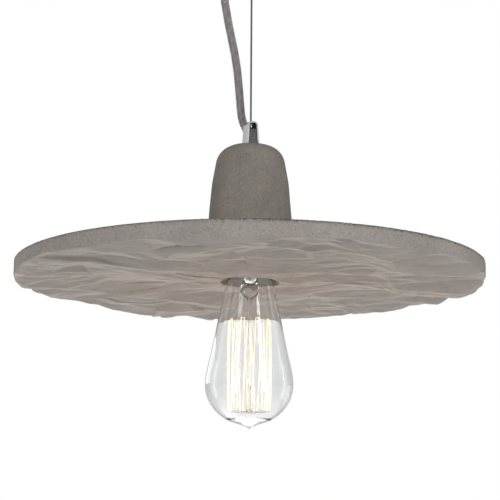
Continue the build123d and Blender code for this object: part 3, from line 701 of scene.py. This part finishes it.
def concrete_shade():
    """The disc: crumpled underside, porous upright rim with a chipped upper edge, flat top."""
    around = disc_steps_around
    angle = np.arange(around) * 2 * math.pi / around
    out = disc_radius + wander(angle, 21, 60, 0.12 * MM)
    rings, skins, chip_shade_rings = [], [], []

    def ring(radius, height, skin, chip_shade):
        circle = (radius * np.cos(angle), radius * np.sin(angle), height + 0 * angle)
        rings.append(np.stack(circle, axis=1))
        skins.append(skin + 0 * angle)
        chip_shade_rings.append(chip_shade + 0 * angle)

    shares = np.linspace(0, 1, underside_rings)[:, None]
    radii = hole_radius + (out - edge_round - hole_radius) * shares
    relief = crumple(radii * np.cos(angle), radii * np.sin(angle))
    for radius, drop in zip(radii, relief):
        ring(radius, underside_z - drop, 1.0, 0.0)
    foot = rings[-1][:, 2]
    to_the_right = np.clip(np.cos(angle + 0.25), 0, 1)
    chips = np.clip(wander(angle, 22, 420, 1.0) - 0.2, 0, None)
    chips = np.minimum(chips * (0.3 + 0.7 * to_the_right), 1.3) * chip_depth
    for across, up, skin in ((0.35, 0.15, 0.8), (0.7, 0.42, 0.4), (0.92, 0.72, 0.1)):
        ring(out - edge_round * (1 - across), foot + edge_round * up, skin, 0.0)
    low, high = foot + edge_round, disc_top_z - top_edge_height
    # Near its top the rim is cut back into chips, and the chip mask paints that edge dark as shade, more
    # on the right.
    for number, share in enumerate(np.linspace(0, 1, rim_rings)):
        near_top = max(0.0, (share - 0.74) / 0.26)
        radius = out + wander(angle, 30 + number, 90, 0.07 * MM) - chips * near_top
        ring(radius, low + (high - low) * share - chips * near_top * 0.4, 0.0,
             near_top**2 * (0.5 + 0.5 * to_the_right) + chips / chip_depth * near_top**2)
    top_edge = out - chips - top_edge_width
    ring(top_edge, disc_top_z - chips * 0.4, 0.0, 1.0)
    # The first ring of the top carries on the painted edge shade.
    for share in np.linspace(0.01, 1, top_rings):
        radius = top_edge + (hole_radius - top_edge) * share
        ripple = 0.15 * MM * np.clip((radius - 50 * MM) / (30 * MM), 0, 1)
        trowelled = 0.5 + 0.5 * np.sin(radius * 260 + 3 * np.cos(angle * 5))
        ring(radius, disc_top_z - ripple * trowelled, 0.3, max(0.0, 1 - share * 30))
    points, faces = np.concatenate(rings), ring_faces(len(rings), around, True)
    made = piece("concrete_shade", points, faces, disc_concrete, "lamp", "concrete_disc")
    point_share(made, "skin", np.concatenate(skins))
    point_share(made, "chipped_edge_shade", np.clip(np.concatenate(chip_shade_rings), 0, 1))


concrete_shade()


# ------------------------------------------------------------------ concrete bell
bell_base_radius = (bell_high[0] - bell_low[0]) / 2
bell_wall = 6.5 * MM
bell_shoulder_height = 63.0 * MM
bell_shoulder_radius = 28.2 * MM
bell_side_round = 60.0 * MM
bell_crown_radius = 23.3 * MM
bell_crown_round = 14.5 * MM
bell_crown_thickness = 8.0 * MM
bell_unevenness = 0.10 * MM
crown_hole_radius = 7.6 * MM


def rounded(corners):
    """An outline of (x, y, radius) corners with the corners rounded by arcs."""
    steps = 10
    out = []
    for i, (x, y, radius) in enumerate(corners):
        if radius <= 0:
            out.append((x, y))
            continue
        corner = Vector((x, y))
        before = (Vector(corners[i - 1][:2]) - corner).normalized()
        after = (Vector(corners[(i + 1) % len(corners)][:2]) - corner).normalized()
        half = before.angle(after) / 2
        reach = radius / math.tan(half)
        middle = corner + (before + after).normalized() * (radius / math.sin(half))
        start = corner + before * reach
        end = corner + after * reach
        first = math.atan2(start.y - middle.y, start.x - middle.x)
        last = math.atan2(end.y - middle.y, end.x - middle.x)
        sweep = (last - first + math.pi) % (2 * math.pi) - math.pi
        for step in range(steps + 1):
            a = first + sweep * step / steps
            out.append((middle.x + radius * math.cos(a), middle.y + radius * math.sin(a)))
    return out


def denser(outline, step):
    """The outline again, with long straight stretches divided."""
    out = []
    for (x0, y0), (x1, y1) in zip(outline, outline[1:] + outline[:1]):
        count = max(1, math.ceil(math.hypot(x1 - x0, y1 - y0) / step))
        out += [(x0 + (x1 - x0) * i / count, y0 + (y1 - y0) * i / count) for i in range(count)]
    return out


def bell_cast():
    """The bell: a hollow casting with a round shoulder and a hole in its crown."""
    shoulder_z = disc_top_z + bell_shoulder_height
    outline = rounded(
        [
            (bell_base_radius, disc_top_z, 1.0 * MM),
            (bell_shoulder_radius, shoulder_z, bell_side_round),
            (bell_crown_radius, crown_z, bell_crown_round),
            (crown_hole_radius, crown_z, 0.6 * MM),
            (crown_hole_radius, crown_z - bell_crown_thickness, 0),
            (bell_crown_radius - bell_wall, crown_z - bell_crown_thickness, 0),
            (bell_shoulder_radius - bell_wall, shoulder_z, 0),
            (bell_base_radius - bell_wall, disc_top_z, 0),
        ]
    )

    def uneven(angle, height):
        """Slight hand-cast unevenness of the wall."""
        broad = math.sin(3 * angle + height * 70)
        narrow = 0.6 * math.sin(7 * angle - height * 160 + 1.3)
        return bell_unevenness * (broad + narrow)

    profile = denser(outline, 2.5 * MM)
    made = lathe("bell_cast", profile, 180, bell_concrete, "lamp", "concrete_bell", shift=uneven)


bell_cast()


# ------------------------------------------------------------------ bulb
bulb_middle_radius = (glass_high[0] - glass_low[0]) / 2
bulb_tip_z = glass_low[2]
neck_top_z = glass_high[2]
neck_radius = 12.8 * MM
neck_depth = 11.0 * MM
glass_wall = 0.8 * MM
pole_radius = 0.02 * MM
bulb_foot_rise = 9.0 * MM
bulb_foot_radius = 17.2 * MM
bulb_lean = 0.207
shoulder_depth = 51.2 * MM
widest_depth = 75.0 * MM
belly_drop = 29.0 * MM
cone_radius = 14.0 * MM
pip_radius = 1.6 * MM


def eased(start, end, start_slope, end_slope, run, share):
    """A smooth step between two values that leaves and arrives at these slopes."""
    a = 2 * share**3 - 3 * share**2 + 1
    b = -2 * share**3 + 3 * share**2
    return a * start + b * end + run * ((share**3 - 2 * share**2 + share) * start_slope
                                        + (share**3 - share**2) * end_slope)


def bulb_outline():
    """The outside of the glass from neck to tip, as rows of (radius, height)."""
    rows = [(neck_radius, neck_top_z), (neck_radius, underside_z + neck_depth)]
    rise = bulb_foot_rise
    for share in np.linspace(0, 1, 14):
        radius = eased(neck_radius, bulb_foot_radius, 0, 0.28, rise, share)
        rows.append((radius, underside_z + rise * (1 - share)))
    for depth in np.linspace(2 * MM, shoulder_depth, 16):
        rows.append((bulb_foot_radius + bulb_lean * depth, underside_z - depth))
    start, run = rows[-1][0], widest_depth - shoulder_depth
    for share in np.linspace(0.1, 1, 12):
        rows.append((eased(start, bulb_middle_radius, bulb_lean, 0, run, share),
                     underside_z - shoulder_depth - run * share))
    turn_end = math.acos(cone_radius / bulb_middle_radius)
    for angle in np.linspace(0, turn_end, 26)[1:]:
        rows.append((bulb_middle_radius * math.cos(angle),
                     underside_z - widest_depth - belly_drop * math.sin(angle)))
    radius, height = rows[-1]
    for share in np.linspace(0, 1, 12)[1:]:
        bend = pip_radius * 0.35 * math.exp(-(((1 - share) * radius / pip_radius) ** 2))
        rows.append((max(pole_radius, radius * (1 - share)),
                     height + (bulb_tip_z + 0.9 * MM - height) * share - bend * 1.6))
    low = min(row[1] for row in rows)
    return np.array([(r, z if z > low + 1e-9 else bulb_tip_z) for r, z in rows])


def glass_inside(outline):
    """The inner face of the glass, a wall's thickness in; a slight ring thickens it near the tip."""
    run = np.gradient(outline, axis=0)
    run /= np.linalg.norm(run, axis=1)[:, None]
    wall = glass_wall * (1 + 0.4 * np.exp(-(((outline[:, 0] - cone_radius) / (1.3 * MM)) ** 2))
                         * (outline[:, 1] < underside_z - widest_depth))
    inner = outline + np.stack([run[:, 1], -run[:, 0]], axis=1) * wall[:, None]
    inner[:, 0] = np.maximum(inner[:, 0], pole_radius)
    inner[-1] = (pole_radius, outline[-1, 1] + 2.2 * glass_wall)
    return inner


def bulb_blown():
    """The glass: its outer and inner faces, turned as one closed wall."""
    outer = bulb_outline()
    inner = glass_inside(outer)
    inner[:2, 1] = outer[:2, 1]
    profile = outer.tolist() + inner[::-1].tolist()
    made = lathe("bulb_blown", profile, 128, bulb_glass_look, "bulb", "bulb_glass")


bulb_blown()


def joined(name, lines, radius, around, material, body, *nodes):
    """Round wires along several lines, as one mesh."""
    points, faces = [], []
    for line in lines:
        line = np.array(line, float)
        sides, ups = frames_along(line)
        base = len(points)
        points += tube_rings(line, sides, ups, radius, around)
        faces += tube_faces(len(line), around, base)
    return piece(name, points, faces, material, body, *nodes)


cage_top_z = underside_z - 28.0 * MM
cage_foot_z = underside_z - 93.6 * MM
cage_hooks = 9
cage_radius = 15.2 * MM
filament_radius = 0.21 * MM
support_radius = 0.16 * MM


def cage_point(hook, height, reach=1.0):
    """A point on the cage's round wall, hook numbers apart."""
    angle = 2 * math.pi * hook / cage_hooks + 0.2
    radius = cage_radius * reach
    return np.array((radius * math.cos(angle), radius * math.sin(angle), height))


def cage_line():
    """The filament's whole zigzag: down and up between the hooks, sagging a little."""
    rng = np.random.default_rng(7)
    line = []
    for hook in range(cage_hooks):
        for start, end, top, foot in (
            (hook - 0.4, hook - 0.1, cage_foot_z, cage_top_z),
            (hook + 0.1, hook + 0.4, cage_top_z, cage_foot_z),
        ):
            bow = rng.uniform(-0.12, 0.12)
            for share in np.linspace(0, 1, 18):
                swell = math.sin(math.pi * share)
                reach = 1.0 + 0.035 * swell + bow * 0.2 * math.sin(2 * math.pi * share)
                hook_at = start + (end - start) * share + bow * 0.3 * swell
                line.append(cage_point(hook_at, top + (foot - top) * share, reach))
    return line


filament_cage = joined(
    "filament_cage", [cage_line()], filament_radius, 8, filament_glow, "bulb", "filament"
)


def support_lines():
    """Thin wires from the stem out to each hook, curled at their ends."""
    lines = []
    for hook in range(cage_hooks):
        for place, height, dip in ((hook, cage_top_z, 1.6 * MM), (hook + 0.5, cage_foot_z, -1.0 * MM)):
            end = cage_point(place, height)
            line = []
            for share in np.linspace(0.08, 1.0, 10):
                point = end * share
                point[2] = height + dip * math.sin(math.pi * share)
                line.append(point)
            for step in np.linspace(0.3, 1, 5):
                curl = 1.1 * MM * step
                point = end * (1 + curl / cage_radius * 0.5)
                point[2] = height + (curl if dip > 0 else -curl) * 0.8
                line.append(point)
            lines.append(line)
    return lines


cage_supports = joined(
    "cage_supports", support_lines(), support_radius, 6, support_steel, "bulb", "filament_supports"
)


def lead_lines():
    """The two wires that carry current from the press to the filament."""
    lines = []
    for side, hook in ((1, 0), (-1, 4)):
        end = cage_point(hook, cage_top_z)
        start = np.array((side * 2.6 * MM, 0, underside_z - 2 * MM))
        line = []
        for share in np.linspace(0, 1, 16):
            point = start + (end - start) * share**1.15
            point[2] = start[2] + (end[2] - start[2]) * share
            line.append(point)
        lines.append(line)
    return lines


leads = joined("leads", lead_lines(), support_radius, 8, support_steel, "bulb", "lead_wires")


def stem():
    """Flare, pinched press and long rod with its button, in clear glass."""
    around = 40
    # radius, height above the disc's underside, and how far the round is pinched flat
    profile = [
        (pole_radius, -0.6 * MM, 0.0),
        (2.6 * MM, -0.2 * MM, 0.3),
        (4.0 * MM, 2.0 * MM, 0.2),
        (4.9 * MM, 5.5 * MM, 0.0),
        (6.0 * MM, 9.4 * MM, 0.0),
        (8.2 * MM, 12.9 * MM, 0.0),
        (11.7 * MM, 14.0 * MM, 0.0),
        (11.9 * MM, 13.2 * MM, 0.0),
        (8.6 * MM, 12.1 * MM, 0.0),
        (6.7 * MM, 9.0 * MM, 0.0),
        (5.7 * MM, 5.0 * MM, 0.0),
        (5.3 * MM, 1.0 * MM, 0.15),
        (5.6 * MM, -1.5 * MM, 0.45),
        (6.6 * MM, -3.0 * MM, 0.60),
        (6.9 * MM, -5.0 * MM, 0.64),
        (6.8 * MM, -7.0 * MM, 0.66),
        (6.2 * MM, -8.8 * MM, 0.64),
        (5.0 * MM, -10.2 * MM, 0.55),
        (3.4 * MM, -11.0 * MM, 0.4),
        (2.0 * MM, -12.0 * MM, 0.2),
        (1.3 * MM, -14.0 * MM, 0.0),
        (1.1 * MM, -18.0 * MM, 0.0),
        (1.1 * MM, -50.0 * MM, 0.0),
        (1.1 * MM, -89.5 * MM, 0.0),
        (1.7 * MM, -91.4 * MM, 0.0),
        (2.3 * MM, -93.2 * MM, 0.0),
        (2.2 * MM, -94.6 * MM, 0.0),
        (1.2 * MM, -95.6 * MM, 0.0),
        (pole_radius, -95.9 * MM, 0.0),
    ]
    points = []
    for radius, height, pinch in profile:
        for j in range(around):
            angle = 2 * math.pi * j / around
            lump = 1 + 0.09 * math.sin(5 * angle + height / (0.9 * MM)) * (pinch > 0.1)
            reach = radius * lump
            across = reach * (1 - pinch) * math.sin(angle)
            points.append((reach * math.cos(angle), across, underside_z + height))
    faces = ring_faces(len(profile), around, False)
    made = piece("stem", points, faces, stem_glass_look, "bulb", "glass_stem")
    smooth = made.modifiers.new("smooth", "SUBSURF")
    smooth.levels = 1
    smooth.render_levels = 1


stem()


# ------------------------------------------------------------------ floor, light and world
floor_z = -1.15
floor_reach = 6.0
floor_signs = ((-1, -1), (1, -1), (1, 1), (-1, 1))
floor_corners = [(x * floor_reach, y * floor_reach, floor_z) for x, y in floor_signs]
floor_mesh = bpy.data.meshes.new("floor")
floor_mesh.from_pydata(floor_corners, [], [(0, 1, 2, 3)])
floor = bpy.data.objects.new("floor", floor_mesh)
scene.collection.objects.link(floor)
floor_look, floor_shader = new_material("floor_look")
floor_shader.inputs["Base Color"].default_value = (0.86, 0.86, 0.85, 1)
floor_shader.inputs["Roughness"].default_value = 0.9
floor_mesh.materials.append(floor_look)


def add_light(name, kind, power, place=(0, 0, 0)):
    made = bpy.data.objects.new(name, bpy.data.lights.new(name, kind))
    made.data.energy = power
    made.location = place
    scene.collection.objects.link(made)
    return made


def area_light(name, place, target, size, power):
    made = add_light(name, "AREA", power, place)
    made.data.shape = "RECTANGLE"
    made.data.size, made.data.size_y = size
    look(made, target)
    return made


def hide_from_mirrors(made):
    """Keep a light out of reflections and out of what shows through glass."""
    made.visible_glossy = False
    made.visible_transmission = False


def glass_lights():
    """Two tall windows that draw streaks on glass and metal and add nothing to the rough faces."""
    for name, place, size, power in (
        ("window_left", (-0.82, -1.02, underside_z - 0.30), (0.30, 0.95), 7),
        ("window_right", (0.86, -0.98, underside_z - 0.34), (0.42, 0.80), 3.5),
    ):
        area_light(name, place, middle, size, power).visible_diffuse = False


def card_lights():
    """Soft cards round the lamp, which light everything and show in metal and glass."""
    crown = (0, 0, crown_z)
    area_light("card_left", (-1.40, 0.45, underside_z + 0.05), middle, (0.5, 1.6), 1.7)
    area_light("card_right", (1.40, 0.45, underside_z - 0.05), middle, (0.4, 1.5), 1.3)
    area_light("card_back", (-1.0, 1.05, underside_z + 0.42), crown, (0.8, 0.7), 2.2)
    area_light("strip_right", (0.95, -1.0, crown_z + 0.25), crown, (0.16, 0.5), 1.5)


def concrete_lights():
    """Lights for the rough faces only. The one low at the back grazes the underside's folds.

    That one casts no shadow, so the bulb draws no dark band across the disc.
    """
    for name, place, power in (
        ("front", (0.80, -1.15, underside_z + 0.04), 16),
        ("front_left", (-0.98, -1.00, underside_z + 0.06), 8.5),
        ("low_left", (-1.35, -0.15, underside_z - 0.22), 2),
        ("low_right", (1.35, 0.25, underside_z - 0.22), 3),
        ("low_back", (-0.3, 1.40, underside_z - 0.24), 60),
        ("top", (-0.6, -0.9, crown_z + 0.7), 3.5),
    ):
        made = area_light(name, place, middle, (0.3, 0.3), power)
        made.data.use_shadow = name != "low_back"
        hide_from_mirrors(made)
    overhead = add_light("overhead", "SUN", 1.2)
    overhead.data.angle = math.radians(60)
    hide_from_mirrors(overhead)


def filament_light():
    """The warm light that the filament throws on the concrete round it."""
    made = add_light("bulb_glow", "POINT", 0.16, (0, 0, underside_z - 62 * MM))
    made.data.color = (1.0, 0.62, 0.36)
    made.data.shadow_soft_size = 0.02
    made.data.use_shadow = False
    hide_from_mirrors(made)


middle = (0, 0, underside_z)
glass_lights()
card_lights()
concrete_lights()
filament_light()


ambient_level = 0.22
mirrored_level = 0.87


def studio_world():
    """White behind the lamp; softer, uneven light for everything that it reflects."""
    world = bpy.data.worlds.new("studio")
    world.use_nodes = True
    scene.world = world
    nodes, links = world.node_tree.nodes, world.node_tree.links
    nodes.clear()
    coordinates = nodes.new("ShaderNodeTexCoord")
    split = nodes.new("ShaderNodeSeparateXYZ")
    links.new(coordinates.outputs["Generated"], split.inputs["Vector"])
    sides = nodes.new("ShaderNodeMath")
    sides.operation = "ABSOLUTE"
    links.new(split.outputs["X"], sides.inputs[0])
    shade = nodes.new("ShaderNodeValToRGB")
    elements = shade.color_ramp.elements
    elements[0].position, elements[0].color = 0.22, (0.95, 0.95, 0.95, 1)
    elements[1].position, elements[1].color = 0.62, (0.30, 0.30, 0.30, 1)
    links.new(sides.outputs["Value"], shade.inputs["Fac"])
    around = nodes.new("ShaderNodeBackground")
    links.new(shade.outputs["Color"], around.inputs["Color"])
    behind = nodes.new("ShaderNodeBackground")
    behind.inputs["Color"].default_value = (1, 1, 1, 1)
    behind.inputs["Strength"].default_value = 1.0
    seen = nodes.new("ShaderNodeLightPath")
    mirrored = nodes.new("ShaderNodeMath")
    mirrored.operation = "MAXIMUM"
    links.new(seen.outputs["Is Glossy Ray"], mirrored.inputs[0])
    links.new(seen.outputs["Is Transmission Ray"], mirrored.inputs[1])
    level = nodes.new("ShaderNodeMapRange")
    level.inputs["To Min"].default_value = ambient_level
    level.inputs["To Max"].default_value = mirrored_level
    links.new(mirrored.outputs["Value"], level.inputs["Value"])
    links.new(level.outputs["Result"], around.inputs["Strength"])
    mix = nodes.new("ShaderNodeMixShader")
    links.new(seen.outputs["Is Camera Ray"], mix.inputs["Fac"])
    links.new(around.outputs["Background"], mix.inputs[1])
    links.new(behind.outputs["Background"], mix.inputs[2])
    output = nodes.new("ShaderNodeOutputWorld")
    links.new(mix.outputs["Shader"], output.inputs["Surface"])


studio_world()
scene.view_settings.view_transform = "Standard"
